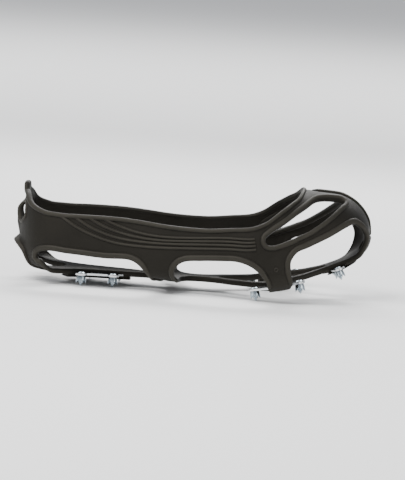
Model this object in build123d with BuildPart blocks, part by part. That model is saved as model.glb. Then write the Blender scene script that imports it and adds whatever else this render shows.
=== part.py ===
from build123d import *
import os
from math import cos, pi, radians, sin

# Slip-on ice cleat for one right boot, in millimetres.
#
# A rubber harness is stretched over the lower part of the boot. Pads under the heel, the ball and
# the toe each hold a steel plate, and toothed studs are riveted to the plates' wings.
# +X points to the toe, +Y to the big-toe side and +Z up. The origin is on the ground under the
# middle of the bounding box. The four heel studs and the two rear ball studs stand on the ground.
# "Outer" is the little-toe side (-Y) and "inner" the big-toe side.

# ---- driving dimensions ------------------------------------------------------------------------

CENTRE_X, CENTRE_Y = -1.6, 0.0  # the middle of the bounding box
WALL = 4.0  # rubber thickness, lips included
PLATE_T = 1.5
HEEL_X, TOE_X = -144.5, 141.2  # the ends of the boot inside the harness
CORNER_W, CORNER_H = 12.0, 14.0  # the rounded edge between the sole and the wall

# The boot inside the harness, from heel to toe: station x, the section's middle y, its half width,
# the height of the sole and the height where the section would close at the top.
STATIONS = [
    (-144.1, 9.5, 9.0, 29.0, 115.0),
    (-142.0, 9.5, 18.5, 24.0, 115.0),
    (-138.0, 9.5, 27.0, 19.5, 115.0),
    (-130.0, 9.5, 36.3, 15.8, 115.0),
    (-120.0, 9.4, 41.8, 13.8, 115.0),
    (-103.0, 8.6, 45.3, 13.0, 115.0),
    (-83.0, 7.4, 46.6, 13.0, 115.0),
    (-58.0, 4.8, 46.8, 13.0, 115.0),
    (-28.0, 2.6, 48.8, 13.0, 115.0),
    (2.0, 0.6, 51.3, 13.0, 113.0),
    (27.0, -0.2, 53.6, 13.0, 109.0),
    (47.0, 0.0, 56.0, 13.3, 102.0),
    (67.0, 0.8, 56.0, 16.2, 93.0),
    (84.0, 1.3, 51.5, 20.2, 87.8),
    (100.0, 2.0, 45.5, 24.8, 87.0),
    (115.0, 3.5, 39.0, 30.3, 86.0),
    (127.0, 5.0, 32.0, 36.0, 81.0),
    (135.0, 6.5, 24.5, 42.5, 73.5),
    (139.5, 7.4, 15.5, 49.0, 66.0),
    (140.9, 7.8, 7.0, 53.5, 61.5),
]

# Heights of the rubber's top rim, seen from the side, from heel to toe.
RIM = [
    (-141.7, 76.3), (-137.2, 69.8), (-130.8, 64.4), (-121.0, 61.4), (-105.0, 60.7), (-65.0, 61.2),
    (-40.0, 59.6), (-20.0, 58.0), (10.0, 57.8), (32.0, 60.0), (47.0, 62.4), (55.0, 66.7),
    (66.3, 76.2), (81.5, 87.8), (85.0, 92.0),
]
TAB_TOP, TAB_FOOT, TAB_HALF_W = 81.4, 71.0, 10.0
HEEL_MIDDLE_Y = 9.5

# Openings seen from the side (x, z). Each window wraps under the boot into the sole opening of the
# same name.
OUTER_HEEL_WINDOW = [
    (-129.5, 21.6), (-127.5, 27.4), (-115.8, 28.8), (-94.9, 27.8), (-54.0, 26.8), (-46.8, 23.6),
    (-39.0, 9.0), (-38.0, -2.0), (-105.0, -2.0), (-121.6, 16.4),
]
INNER_HEEL_WINDOW = [
    (-129.5, 21.6), (-127.5, 27.4), (-115.8, 28.8), (-94.9, 27.8), (-58.0, 26.8), (-51.0, 23.6),
    (-44.0, 12.0), (-42.5, -2.0), (-105.0, -2.0), (-121.6, 16.4),
]
OUTER_MID_WINDOW = [
    (-13.4, -2.0), (-15.6, 21.0), (-9.5, 28.8), (5.9, 31.0), (37.6, 32.6), (47.2, 27.6),
    (57.5, 18.6), (60.8, -2.0),
]
INNER_MID_WINDOW = [
    (-14.6, -2.0), (-15.6, 21.0), (-9.5, 28.8), (5.9, 31.0), (35.6, 32.6), (44.8, 27.6),
    (54.5, 18.6), (56.8, -2.0),
]
OUTER_TOE_WINDOW = [
    (78.6, 26.0), (77.4, 38.4), (82.9, 43.0), (107.8, 55.7), (126.0, 67.6), (136.8, 60.0),
    (138.6, 51.0), (128.0, 48.0), (105.0, 35.0),
]
INNER_TOE_WINDOW = [
    (76.0, 26.0), (76.4, 38.2), (83.4, 43.2), (107.8, 55.7), (121.6, 66.0), (130.4, 59.0),
    (132.0, 51.0), (122.0, 46.0), (105.0, 35.0),
]
TOE_EYE = [
    (55.5, 51.0), (99.0, 88.0), (119.0, 88.0), (119.6, 83.0), (108.0, 73.7), (91.3, 61.8),
    (71.9, 51.6), (58.5, 46.4),
]
EYE_FROM_MIDDLE = 13.0

# Openings seen from behind (y, z).
HEEL_SLOT = [(18.5, 54.0), (21.0, 63.5), (28.5, 64.0), (31.5, 57.0), (29.0, 51.0), (21.0, 50.0)]
TOE_END_WINDOW = [(-1.0, 10.0), (-1.0, 44.0), (2.5, 51.0), (13.5, 51.0), (17.0, 44.0), (17.0, 10.0)]

# Openings of the web under the sole, seen from below (x, y).
HEEL_END_OPENING = [
    (-138.1, -15.2), (-112.6, -3.7), (-108.0, 2.5), (-107.3, 9.5), (-108.6, 16.2), (-112.0, 19.6),
    (-136.3, 33.9), (-160.0, 37.0), (-160.0, -18.0),
]
OUTER_HEEL_OPENING = [
    (-126.0, -29.5), (-101.3, -14.5), (-86.0, -9.5), (-40.2, -7.2), (-29.0, -8.0), (-27.0, -17.0),
    (-36.2, -40.2), (-39.0, -66.0), (-122.0, -66.0),
]
INNER_HEEL_OPENING = [
    (-124.0, 48.5), (-99.6, 29.7), (-87.0, 23.7), (-49.1, 12.7), (-33.0, 5.0), (-26.5, 9.5),
    (-29.7, 22.5), (-36.8, 37.2), (-43.0, 48.0), (-43.0, 75.0), (-122.0, 75.0),
]
OUTER_MID_OPENING = [
    (-14.6, -66.0), (-12.5, -41.9), (-10.0, -17.0), (-2.7, -8.6), (11.7, -8.4), (24.0, -13.6),
    (52.4, -28.0), (61.3, -34.0), (62.5, -42.0), (58.8, -66.0),
]
INNER_MID_OPENING = [
    (-15.0, 75.0), (-14.5, 45.0), (-10.2, 18.0), (-3.0, 9.0), (8.0, 9.2), (23.8, 18.0),
    (50.4, 32.0), (57.0, 37.0), (54.4, 75.0),
]
DIAMOND_OPENING = [
    (21.6, -1.0), (26.5, -6.4), (56.3, -21.1), (66.5, -24.6), (76.0, -18.9), (109.5, 2.6),
    (107.0, 7.2), (77.5, 21.9), (65.5, 26.6), (53.7, 23.7), (24.0, 4.2),
]
OUTER_TOE_OPENING = [
    (78.6, -75.0), (77.9, -41.1), (79.2, -26.2), (113.0, -6.4), (119.0, -5.2), (124.9, -5.8),
    (131.5, -9.8), (138.6, -16.6), (138.6, -75.0),
]
INNER_TOE_OPENING = [
    (76.0, 80.0), (74.9, 36.0), (77.0, 30.9), (105.0, 17.6), (119.1, 19.5), (132.0, 38.0),
    (132.0, 80.0),
]

# The pads seen from below (x, y): within these outlines the web is as thick as a pad.
HEEL_PAD = [
    (-112.0, -2.0), (-103.5, -18.0), (-51.0, -14.0), (-51.0, 20.0), (-99.0, 34.0), (-111.0, 19.5),
]
OUTER_BALL_PAD = [
    (52.0, -75.0), (52.6, -30.5), (57.2, -18.5), (68.0, -16.0), (76.2, -17.0), (84.5, -27.5),
    (86.0, -75.0),
]
INNER_BALL_PAD = [
    (50.0, 75.0), (50.0, 35.0), (54.6, 20.5), (66.0, 19.0), (76.5, 21.0), (81.5, 31.5),
    (82.0, 75.0),
]
TOE_PAD = [
    (106.5, -12.0), (108.0, 4.0), (104.0, 8.0), (102.5, 21.0), (112.0, 22.0), (124.0, 34.0),
    (128.3, 31.0), (135.5, 17.0), (135.5, -1.0), (131.8, -14.0), (120.0, -12.0),
]
PAD_UNDER = 7.0  # a pad's thickness: rubber, plate, rubber
SEAT_Z = 13.0  # the flat top of the heel pad, where the boot's heel stands

# The ball plates and the toe plate tip up towards the toe by these angles.
BALL_TILT, TOE_TILT = 12.0, 23.0
TOE_PLANE_X, TOE_PLANE_Z = 118.0, 26.2

# Studs seen from below (x, y).
HEEL_STUDS = {
    "heel_outer_rear": (-92.6, -18.4),
    "heel_outer_front": (-66.5, -15.8),
    "heel_inner_rear": (-87.5, 31.3),
    "heel_inner_front": (-62.3, 23.5),
}
OUTER_BALL_STUDS = {"ball_outer_rear": (50.6, -40.1), "ball_outer_front": (86.8, -35.6)}
INNER_BALL_STUDS = {"ball_inner_rear": (47.8, 43.4), "ball_inner_front": (85.7, 39.1)}
TOE_STUDS = {"toe_outer": (119.2, -11.1), "toe_inner": (115.5, 24.8)}

EAR_R = 5.0  # the plate's round ear behind a stud
HEEL_PLATE = [
    (-98.0, -12.5), (-92.6, -18.4), (-66.5, -15.8), (-56.0, -6.0), (-56.0, 12.0), (-62.3, 23.5),
    (-87.5, 31.3), (-97.0, 26.0),
]
OUTER_BALL_PLATE = [
    (50.6, -45.1), (63.0, -49.5), (71.5, -49.5), (80.0, -47.0), (86.8, -40.6), (86.8, -30.6),
    (79.5, -28.8), (71.5, -31.5), (63.0, -33.6), (50.6, -35.1),
]
INNER_BALL_PLATE = [
    (47.8, 38.4), (57.5, 37.2), (66.0, 37.8), (75.0, 35.6), (85.7, 34.1), (85.7, 44.1),
    (75.5, 50.1), (66.0, 51.5), (58.0, 53.4), (47.8, 48.4),
]
TOE_PLATE = [
    (114.2, -11.1), (124.2, -11.1), (127.5, 2.0), (124.0, 18.0), (120.5, 24.8), (110.5, 24.8),
    (110.0, 16.0), (112.8, 2.0),
]

# A stud's crown is a toothed bell with a spiked pin through it: radii at its neck and at its teeth.
CROWN_NECK_R, CROWN_R, CROWN_H, CROWN_BASE_T = 3.4, 4.5, 6.8, 1.3
CROWN_BORE_NECK_R, CROWN_BORE_R = 2.3, 3.3
TEETH = 6
NOTCH_DEPTH = 3.6
PIN_LENGTH, PIN_CONE_H = 9.0, 3.0
PIN_COLLAR_R, RIVET_R, RIVET_HOLE_R = 2.0, 1.5, 1.55
RIVET_HEAD_R, RIVET_HEAD_H = 3.0, 1.0

# How the one moulding is divided into zones.
WEB_TOP = [(-170.0, 22.0), (55.0, 22.0), (75.0, 27.0), (100.0, 34.0), (128.0, 51.0), (170.0, 51.0)]
HEEL_CUP_X, TOE_CAP_X, WALL_MIDDLE_Y = -118.0, 52.0, 5.0
SPINE_X, ARCH_X, ARM_X = -32.0, 22.0, 5.0
ARM_OUTER_Y, ARM_INNER_Y = -8.6, 9.2

os.makedirs("parts", exist_ok=True)


def write(part, name):
    part = part.moved(Location((-CENTRE_X, -CENTRE_Y, 0)))
    part.label = name
    export_step(part, f"parts/{name}.step")


# ---- the boot's form and the shell over it -----------------------------------------------------


def section_points(station, grow, under):
    """Points (y, z) round one section: flat sole, rounded edge, wall leaning in to the top."""
    _, middle, half, sole, top = station
    half, sole, top = half + grow, sole - under, top + grow
    corner_w, corner_h = min(CORNER_W, 0.75 * half), min(CORNER_H, 0.4 * (top - sole))
    side = [(0.5 * (half - corner_w), sole)]
    for angle in (0, 30, 60, 90):
        side.append((half - corner_w + corner_w * sin(radians(angle)),
                     sole + corner_h * (1 - cos(radians(angle)))))
    wall_h = top - sole - corner_h
    for share in (0.2, 0.4, 0.6, 0.75, 0.88, 0.97):
        side.append((half * (1 - share**2.2) ** 0.5, sole + corner_h + share * wall_h))
    inner = [(middle + y, z) for y, z in side]
    outer = [(middle - y, z) for y, z in reversed(side)]
    return [(middle, sole), *inner, (middle, top), *outer]


def boot_form(grow, under):
    """The closed form of the boot, grown all round and by its own amount under the sole."""
    stretch = (TOE_X - HEEL_X + 2 * grow) / (TOE_X - HEEL_X)
    middle_x = (TOE_X + HEEL_X) / 2
    with BuildPart() as form:
        for station in STATIONS:
            x = middle_x + (station[0] - middle_x) * stretch
            with BuildSketch(Plane.YZ.offset(x)):
                with BuildLine():
                    Spline(section_points(station, grow, under), periodic=True)
                make_face()
        loft()
    return form.part


def from_side(points, start_y, end_y, radius):
    """A prism of a side outline (x, z) between two values of y."""
    with BuildPart() as prism:
        with BuildSketch(Plane.XZ.offset(-start_y)):
            with BuildLine():
                FilletPolyline(*points, radius=radius, close=True)
            make_face()
        extrude(amount=start_y - end_y)
    return prism.part


def from_below(points, low, high, radius):
    """A prism of a sole outline (x, y) between two heights."""
    with BuildPart() as prism:
        with BuildSketch(Plane.XY.offset(low)):
            with BuildLine():
                FilletPolyline(*points, radius=radius, close=True)
            make_face()
        extrude(amount=high - low)
    return prism.part


def from_behind(points, start_x, end_x, radius):
    """A prism of an outline seen from behind (y, z) between two values of x."""
    with BuildPart() as prism:
        with BuildSketch(Plane.YZ.offset(start_x)):
            with BuildLine():
                FilletPolyline(*points, radius=radius, close=True)
            make_face()
        extrude(amount=end_x - start_x)
    return prism.part


def zone(x0, x1, y0, y1, z0, z1):
    """A box between two corners."""
    with BuildPart(Location(((x0 + x1) / 2, (y0 + y1) / 2, (z0 + z1) / 2))) as box:
        Box(x1 - x0, y1 - y0, z1 - z0)
    return box.part


FAR = 90  # beyond the part on every side

boot = boot_form(0, 0)
with BuildPart() as shell:
    add(boot_form(WALL, WALL))
    add(boot, mode=Mode.SUBTRACT)

cuts = {
    "rim": from_side([(-170.0, RIM[0][1]), *RIM, (85.0, 140.0), (-170.0, 140.0)], FAR, -FAR, 2),
    "outer heel window": from_side(OUTER_HEEL_WINDOW, HEEL_MIDDLE_Y - 30, -FAR, 4),
    "inner heel window": from_side(INNER_HEEL_WINDOW, HEEL_MIDDLE_Y + 30, FAR, 4),
    "outer mid window": from_side(OUTER_MID_WINDOW, -40, -FAR, 6),
    "inner mid window": from_side(INNER_MID_WINDOW, 40, FAR, 6),
    "outer toe window": from_side(OUTER_TOE_WINDOW, -10, -FAR, 2.5),
    "inner toe window": from_side(INNER_TOE_WINDOW, 22, FAR, 2.5),
    "outer eye": from_side(TOE_EYE, 3 - EYE_FROM_MIDDLE, -FAR, 3),
    "inner eye": from_side(TOE_EYE, 3 + EYE_FROM_MIDDLE, FAR, 3),
    "heel end": from_below(HEEL_END_OPENING, -10, 30, 3),
    "outer heel": from_below(OUTER_HEEL_OPENING, -10, 19, 3),
    "inner heel": from_below(INNER_HEEL_OPENING, -10, 19, 3),
    "outer mid": from_below(OUTER_MID_OPENING, -10, 20, 3),
    "inner mid": from_below(INNER_MID_OPENING, -10, 20, 3),
    "diamond": from_below(DIAMOND_OPENING, -10, 40, 3),
    "outer toe": from_below(OUTER_TOE_OPENING, -10, 52, 3),
    "inner toe": from_below(INNER_TOE_OPENING, -10, 52, 3),
    "toe end": from_behind(TOE_END_WINDOW, 134, 160, 3),
}
for side, sign in (("outer", -1), ("inner", 1)):
    slot = [(HEEL_MIDDLE_Y + sign * (y - HEEL_MIDDLE_Y), z) for y, z in HEEL_SLOT]
    cuts[f"{side} heel slot"] = from_behind(slot, -160, -125, 2.5)

with BuildPart() as harness:
    add(shell.part)
    add(list(cuts.values()), mode=Mode.SUBTRACT)

# ---- the pads under the sole and the plates in them --------------------------------------------


def tilted(x, z, tilt):
    """The plane of a plate's underside through (x, 0, z)."""
    lean = radians(tilt)
    along, up = (cos(lean), 0, sin(lean)), (-sin(lean), 0, cos(lean))
    return Plane(origin=(x, 0, z), x_dir=along, z_dir=up)


def on_plane(plane, tilt, points):
    """Points seen from below turned into the plate's own coordinates."""
    return [((x - plane.origin.X) / cos(radians(tilt)), y) for x, y in points]


def steel_plate(plane, tilt, outline, studs):
    """A flat plate with an ear and a rivet hole at each stud."""
    places = on_plane(plane, tilt, studs.values())
    with BuildPart() as plate:
        with BuildSketch(plane):
            with BuildLine():
                FilletPolyline(*on_plane(plane, tilt, outline), radius=1.2, close=True)
            make_face()
            with Locations(*places):
                Circle(EAR_R)
            with Locations(*places):
                Circle(RIVET_HOLE_R, mode=Mode.SUBTRACT)
        extrude(amount=PLATE_T)
    return plate.part


ball_rise = PIN_LENGTH * cos(radians(BALL_TILT))
heel_plane = tilted(-75.0, PIN_LENGTH, 0.0)
outer_ball_plane = tilted(OUTER_BALL_STUDS["ball_outer_rear"][0], ball_rise, BALL_TILT)
inner_ball_plane = tilted(INNER_BALL_STUDS["ball_inner_rear"][0], ball_rise, BALL_TILT)
toe_plane = tilted(TOE_PLANE_X, TOE_PLANE_Z, TOE_TILT)

heel_plate = steel_plate(heel_plane, 0.0, HEEL_PLATE, HEEL_STUDS)
ball_plate_outer = steel_plate(outer_ball_plane, BALL_TILT, OUTER_BALL_PLATE, OUTER_BALL_STUDS)
ball_plate_inner = steel_plate(inner_ball_plane, BALL_TILT, INNER_BALL_PLATE, INNER_BALL_STUDS)
toe_plate = steel_plate(toe_plane, TOE_TILT, TOE_PLATE, TOE_STUDS)
write(heel_plate, "heel_plate")
write(ball_plate_outer, "ball_plate_outer")
write(ball_plate_inner, "ball_plate_inner")
write(toe_plate, "toe_plate")

below_web_top = from_side([*WEB_TOP, (170.0, -20.0), (-170.0, -20.0)], FAR, -FAR, 0.5)
pad_plans = {
    "ball_pad_outer": (
        OUTER_BALL_PAD, ball_plate_outer,
        ("outer mid", "outer mid window", "diamond", "outer toe", "outer toe window")),
    "ball_pad_inner": (
        INNER_BALL_PAD, ball_plate_inner,
        ("inner mid", "inner mid window", "diamond", "inner toe", "inner toe window")),
    "toe_pad": (TOE_PAD, toe_plate, ("diamond", "outer toe", "inner toe", "toe end")),
}
thick = boot_form(WALL, PAD_UNDER)
pad_prisms = {name: from_below(plan[0], -10, 60, 0.8) for name, plan in pad_plans.items()}
pad_prisms["heel_pad"] = from_below(HEEL_PAD, -10, 60, 0.8)
with BuildPart() as heel_pad:
    add(from_below(HEEL_PAD, SEAT_Z - PAD_UNDER, SEAT_Z, 0.8))
    add([heel_plate, cuts["heel end"], cuts["outer heel"], cuts["inner heel"]], mode=Mode.SUBTRACT)
write(heel_pad.part, "heel_pad")
for name, (_, plate, near) in pad_plans.items():
    with BuildPart() as pad:
        add(thick)
        add(pad_prisms[name], mode=Mode.INTERSECT)
        add(below_web_top, mode=Mode.INTERSECT)
        add([boot, plate, *(cuts[opening] for opening in near)], mode=Mode.SUBTRACT)
    write(pad.part, name)

# ---- the rest of the harness, in zones ---------------------------------------------------------

with BuildPart() as web:
    add(harness.part)
    add(below_web_top, mode=Mode.INTERSECT)
    add(list(pad_prisms.values()), mode=Mode.SUBTRACT)

with BuildPart() as wall:
    add(harness.part)
    add(below_web_top, mode=Mode.SUBTRACT)

tab_low_y, tab_high_y = HEEL_MIDDLE_Y - TAB_HALF_W, HEEL_MIDDLE_Y + TAB_HALF_W
tab_outline = [(tab_low_y, TAB_FOOT), (tab_low_y, TAB_TOP), (tab_high_y, TAB_TOP),
               (tab_high_y, TAB_FOOT)]
with BuildPart() as pull_tab:
    add(shell.part)
    add(from_behind(tab_outline, -160, -132, 0.5), mode=Mode.INTERSECT)
write(pull_tab.part, "heel_pull_tab")

middle = WALL_MIDDLE_Y
wall_zones = {
    "heel_cup": zone(-170, HEEL_CUP_X, -FAR, FAR, 0, 120),
    "side_wall_outer": zone(HEEL_CUP_X, TOE_CAP_X, -FAR, middle, 0, 120),
    "side_wall_inner": zone(HEEL_CUP_X, TOE_CAP_X, middle, FAR, 0, 120),
    "toe_cap": zone(TOE_CAP_X, 170, -FAR, FAR, 0, 120),
}
for name, box in wall_zones.items():
    with BuildPart() as piece:
        add(wall.part)
        add(box, mode=Mode.INTERSECT)
        if name == "heel_cup":
            add(zone(-170, -132, tab_low_y, tab_high_y, TAB_FOOT, 120), mode=Mode.SUBTRACT)
    write(piece.part, name)

web_zones = {
    "heel_strap_outer": [zone(-170, -98, -FAR, HEEL_MIDDLE_Y, 0, 120)],
    "heel_strap_inner": [zone(-170, -98, HEEL_MIDDLE_Y, FAR, 0, 120)],
    "sole_spine": [zone(-60, SPINE_X, ARM_OUTER_Y, 14, 0, 120)],
    "arch_arm_outer": [zone(-60, ARM_X, -FAR, ARM_OUTER_Y, 0, 120)],
    "arch_arm_inner": [zone(-60, ARM_X, 14, FAR, 0, 120),
                       zone(SPINE_X, ARM_X, ARM_INNER_Y, 14, 0, 120)],
    "arch_middle": [zone(SPINE_X, ARM_X, ARM_OUTER_Y, ARM_INNER_Y, 0, 120),
                    zone(ARM_X, ARCH_X, -20, 25, 0, 120)],
    "rear_ball_strap_outer": [zone(ARCH_X, 68, -FAR, 2, 0, 120)],
    "rear_ball_strap_inner": [zone(ARCH_X, 68, 2, FAR, 0, 120)],
    "front_ball_strap_outer": [zone(74, 115, -FAR, 5, 0, 120)],
    "front_ball_strap_inner": [zone(74, 115, 5, FAR, 0, 120)],
    "toe_strap_outer": [zone(125, 170, -FAR, 8, 0, 120)],
    "toe_strap_inner": [zone(125, 170, 8, FAR, 0, 120)],
}
for name, boxes in web_zones.items():
    with BuildPart() as box:
        add(boxes)
    with BuildPart() as piece:
        add(web.part)
        add(box.part, mode=Mode.INTERSECT)
    write(piece.part, name)

# ---- studs -------------------------------------------------------------------------------------

with BuildPart() as crown:
    with BuildSketch(Plane.XZ):
        with BuildLine():
            Polyline((RIVET_HOLE_R, 0), (CROWN_NECK_R, 0), (CROWN_R, -CROWN_H),
                     (CROWN_BORE_R, -CROWN_H), (CROWN_BORE_NECK_R, -CROWN_BASE_T),
                     (RIVET_HOLE_R, -CROWN_BASE_T), close=True)
        make_face()
    revolve(axis=Axis.Z)
    half_notch = pi * CROWN_R / TEETH
    for tooth in range(TEETH):
        turn = radians(360 / TEETH * tooth)
        out = (cos(turn), sin(turn), 0)
        along = (-sin(turn), cos(turn), 0)
        with BuildSketch(Plane(origin=(0, 0, -CROWN_H), x_dir=along, z_dir=out)):
            with BuildLine():
                Polyline((-half_notch, -1), (-half_notch, 0), (0, NOTCH_DEPTH), (half_notch, 0),
                         (half_notch, -1), close=True)
            make_face()
        extrude(amount=2 * CROWN_R, mode=Mode.SUBTRACT)

with BuildPart() as pin:
    with BuildSketch(Plane.XZ):
        with BuildLine():
            Polyline((0, -PIN_LENGTH), (PIN_COLLAR_R, PIN_CONE_H - PIN_LENGTH),
                     (PIN_COLLAR_R, -CROWN_BASE_T), (RIVET_R, -CROWN_BASE_T), (RIVET_R, PLATE_T),
                     (RIVET_HEAD_R, PLATE_T), (RIVET_HEAD_R, PLATE_T + 0.4 * RIVET_HEAD_H),
                     (0.6 * RIVET_HEAD_R, PLATE_T + RIVET_HEAD_H), (0, PLATE_T + RIVET_HEAD_H),
                     close=True)
        make_face()
    revolve(axis=Axis.Z)

stud_rows = ((HEEL_STUDS, heel_plane), (OUTER_BALL_STUDS, outer_ball_plane),
             (INNER_BALL_STUDS, inner_ball_plane), (TOE_STUDS, toe_plane))
for studs, plane in stud_rows:
    for name, (x, y) in studs.items():
        z = plane.origin.Z + (x - plane.origin.X) * plane.x_dir.Z / plane.x_dir.X
        place = Plane(origin=(x, y, z), x_dir=plane.x_dir, z_dir=plane.z_dir).location
        write(crown.part.moved(place), f"stud_crown_{name}")
        write(pin.part.moved(place), f"stud_pin_{name}")
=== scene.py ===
import math

import bmesh
import bpy
import numpy as np
from mathutils import Matrix, Vector, kdtree


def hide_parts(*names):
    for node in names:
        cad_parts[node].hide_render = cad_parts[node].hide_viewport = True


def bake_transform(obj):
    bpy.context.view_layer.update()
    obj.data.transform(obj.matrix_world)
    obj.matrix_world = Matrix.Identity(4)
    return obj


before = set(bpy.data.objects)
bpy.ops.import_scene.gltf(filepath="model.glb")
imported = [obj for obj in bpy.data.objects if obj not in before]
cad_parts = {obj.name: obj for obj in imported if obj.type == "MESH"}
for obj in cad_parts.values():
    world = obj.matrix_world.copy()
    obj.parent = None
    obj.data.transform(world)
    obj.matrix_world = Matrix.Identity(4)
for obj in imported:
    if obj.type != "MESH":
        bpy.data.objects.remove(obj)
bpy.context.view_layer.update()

# ---- the boot's surface, in millimetres ------------------------------------------------------------------
# x station, middle y, half width, sole height, height where the section would close
STATIONS = np.array([
    (-144.5, 9.5, 0.0, 31.0, 115.0), (-144.1, 9.5, 9.0, 29.0, 115.0), (-142.0, 9.5, 18.5, 24.0, 115.0),
    (-138.0, 9.5, 27.0, 19.5, 115.0), (-130.0, 9.5, 36.3, 15.8, 115.0), (-120.0, 9.4, 41.8, 13.8, 115.0),
    (-103.0, 8.6, 45.3, 13.0, 115.0), (-83.0, 7.4, 46.6, 13.0, 115.0), (-58.0, 4.8, 46.8, 13.0, 115.0),
    (-28.0, 2.6, 48.8, 13.0, 115.0), (2.0, 0.6, 51.3, 13.0, 113.0), (27.0, -0.2, 53.6, 13.0, 109.0),
    (47.0, 0.0, 56.0, 13.3, 102.0), (67.0, 0.8, 56.0, 16.2, 93.0), (84.0, 1.3, 51.5, 20.2, 87.8),
    (100.0, 2.0, 45.5, 24.8, 87.0), (115.0, 3.5, 39.0, 30.3, 86.0), (127.0, 5.0, 32.0, 36.0, 81.0),
    (135.0, 6.5, 24.5, 42.5, 73.5), (139.5, 7.4, 15.5, 49.0, 66.0), (140.9, 7.8, 7.0, 54.0, 61.5),
    (141.3, 7.8, 0.0, 57.3, 58.2)])
SHIFT_X = 1.6  # the part's origin lies this much behind the stations' own


def smooth(knots, values, at):
    """A cubic through the knots whose slopes never overshoot."""
    step = np.diff(knots)
    slope = np.diff(values) / step
    tangent = np.empty(len(knots))
    tangent[0], tangent[-1] = slope[0], slope[-1]
    same = slope[:-1] * slope[1:] > 0
    before, after = np.where(same, slope[:-1], 1), np.where(same, slope[1:], 1)
    mean = (step[:-1] + step[1:]) / (step[:-1] / after + step[1:] / before)
    tangent[1:-1] = np.where(same, mean, 0)
    i = np.clip(np.searchsorted(knots, at) - 1, 0, len(step) - 1)
    t = np.clip((at - knots[i]) / step[i], 0, 1)
    return ((1 + 2 * t) * (1 - t) ** 2 * values[i] + t * (1 - t) ** 2 * step[i] * tangent[i]
            + t * t * (3 - 2 * t) * values[i + 1] - t * t * (1 - t) * step[i] * tangent[i + 1])


def run_along(points):
    """The run along a line of points, from 0 at its first one."""
    return np.concatenate([[0], np.cumsum(np.linalg.norm(np.diff(points, axis=0), axis=1))])


ALONG = run_along(STATIONS[:, [0, 2]])
U_END = ALONG[-1]
U_DENSE = np.linspace(0, U_END, 1400)
X_DENSE, MIDDLE_DENSE, WIDTH_DENSE, LOW_DENSE, TOP_DENSE = [
    smooth(ALONG, STATIONS[:, k], U_DENSE) for k in range(STATIONS.shape[1])]
X_DENSE = np.maximum.accumulate(X_DENSE + 1e-7 * np.arange(len(X_DENSE)))  # it never stands still or turns back

SOLE_POINTS, CORNER_POINTS, WALL_POINTS = 10, 13, 69  # points of a half section on its sole, corner and wall
WALL_START = SOLE_POINTS + CORNER_POINTS
CORNER_W, CORNER_H = 12, 14  # the rounded edge between the sole and the wall
WALL_POWER = 2.2  # over 2, the wall is fuller than an ellipse


def half_section(u):
    """One side of a section, sole to top: shares of its run, distances from the middle, heights, the run."""
    w, low, top = (float(np.interp(u, U_DENSE, values)) for values in (WIDTH_DENSE, LOW_DENSE, TOP_DENSE))
    corner_w, corner_h = min(CORNER_W, 0.75 * w), min(CORNER_H, 0.4 * (top - low))
    a = np.linspace(0, math.pi / 2, CORNER_POINTS + 1)[1:]
    s = np.sin(np.linspace(0, math.pi / 2, WALL_POINTS + 1))[1:]
    s[-1] = 1
    d = np.concatenate([
        np.linspace(0, w - corner_w, SOLE_POINTS),
        w - corner_w + corner_w * np.sin(a),
        w * np.sqrt(np.maximum(0, 1 - s ** WALL_POWER))])
    z = np.concatenate([
        np.full(SOLE_POINTS, low),
        low + corner_h * (1 - np.cos(a)),
        low + corner_h + s * (top - low - corner_h)])
    run = run_along(np.stack([d, z], -1))
    return run / max(run[-1], 1e-9), d, z, run[-1]


SECTION_U = np.linspace(0, U_END, 420)
SECTIONS = [half_section(u) for u in SECTION_U]
T_FINE = np.linspace(0, 1, 400)  # shares of the half girth
D_TABLE = np.array([np.interp(T_FINE, s[0], s[1]) for s in SECTIONS])
Z_TABLE = np.array([np.interp(T_FINE, s[0], s[2]) for s in SECTIONS])
GIRTH = np.array([s[3] for s in SECTIONS])


def bilinear(table, u, t):
    """A table's value at u along the boot and at the share t of the half girth."""
    a = np.clip(np.asarray(u, float) / U_END * (len(SECTION_U) - 1), 0, len(SECTION_U) - 1.0001)
    b = np.clip(np.asarray(t, float) * (len(T_FINE) - 1), 0, len(T_FINE) - 1.0001)
    i, j = a.astype(int), b.astype(int)
    f, g = a - i, b - j
    return ((1 - f) * ((1 - g) * table[i, j] + g * table[i, j + 1])
            + f * ((1 - g) * table[i + 1, j] + g * table[i + 1, j + 1]))


def surface(u, v):
    """The boot's surface at u along the boot and v round it: v 0 is the sole's middle, -1 and 1 the top."""
    u, v = np.broadcast_arrays(np.asarray(u, float), np.asarray(v, float))
    t = np.abs(v)
    x = np.interp(u, U_DENSE, X_DENSE)
    y = np.interp(u, U_DENSE, MIDDLE_DENSE) + np.sign(v) * bilinear(D_TABLE, u, t)
    return np.stack([x, y, bilinear(Z_TABLE, u, t)], -1)


def u_at(x):
    return float(np.interp(x, X_DENSE, U_DENSE))


def girth(u):
    return np.interp(u, SECTION_U, GIRTH)


def unit(vectors):
    return vectors / np.maximum(np.linalg.norm(vectors, axis=-1, keepdims=True), 1e-9)


def normal(u, v):
    """The surface's outward normal, by differences."""
    reach, least_girth, v_most = 1.2, 5, 0.9999
    u, v = np.broadcast_arrays(np.asarray(u, float), np.asarray(v, float))
    u = np.clip(u, reach, U_END - reach)
    dv = reach / np.maximum(girth(u), least_girth)
    along = surface(u + 1.0, v) - surface(u - 1.0, v)
    across = surface(u, np.clip(v + dv, -v_most, v_most)) - surface(u, np.clip(v - dv, -v_most, v_most))
    return unit(np.cross(across, along))


# ---- outlines: every point is (u, f), where f is the run round the section in millimetres ----------------
# side is -1 for the little-toe side and 1 for the big-toe side

RISING = slice(SOLE_POINTS - 1, None)  # the part of a half section that rises, where a height names one point


def from_side(x, z, side):
    """The point at station x and height z."""
    u = u_at(x)
    t, d, height, run = half_section(u)
    return u, side * float(np.interp(z, height[RISING], t[RISING])) * run


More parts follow.
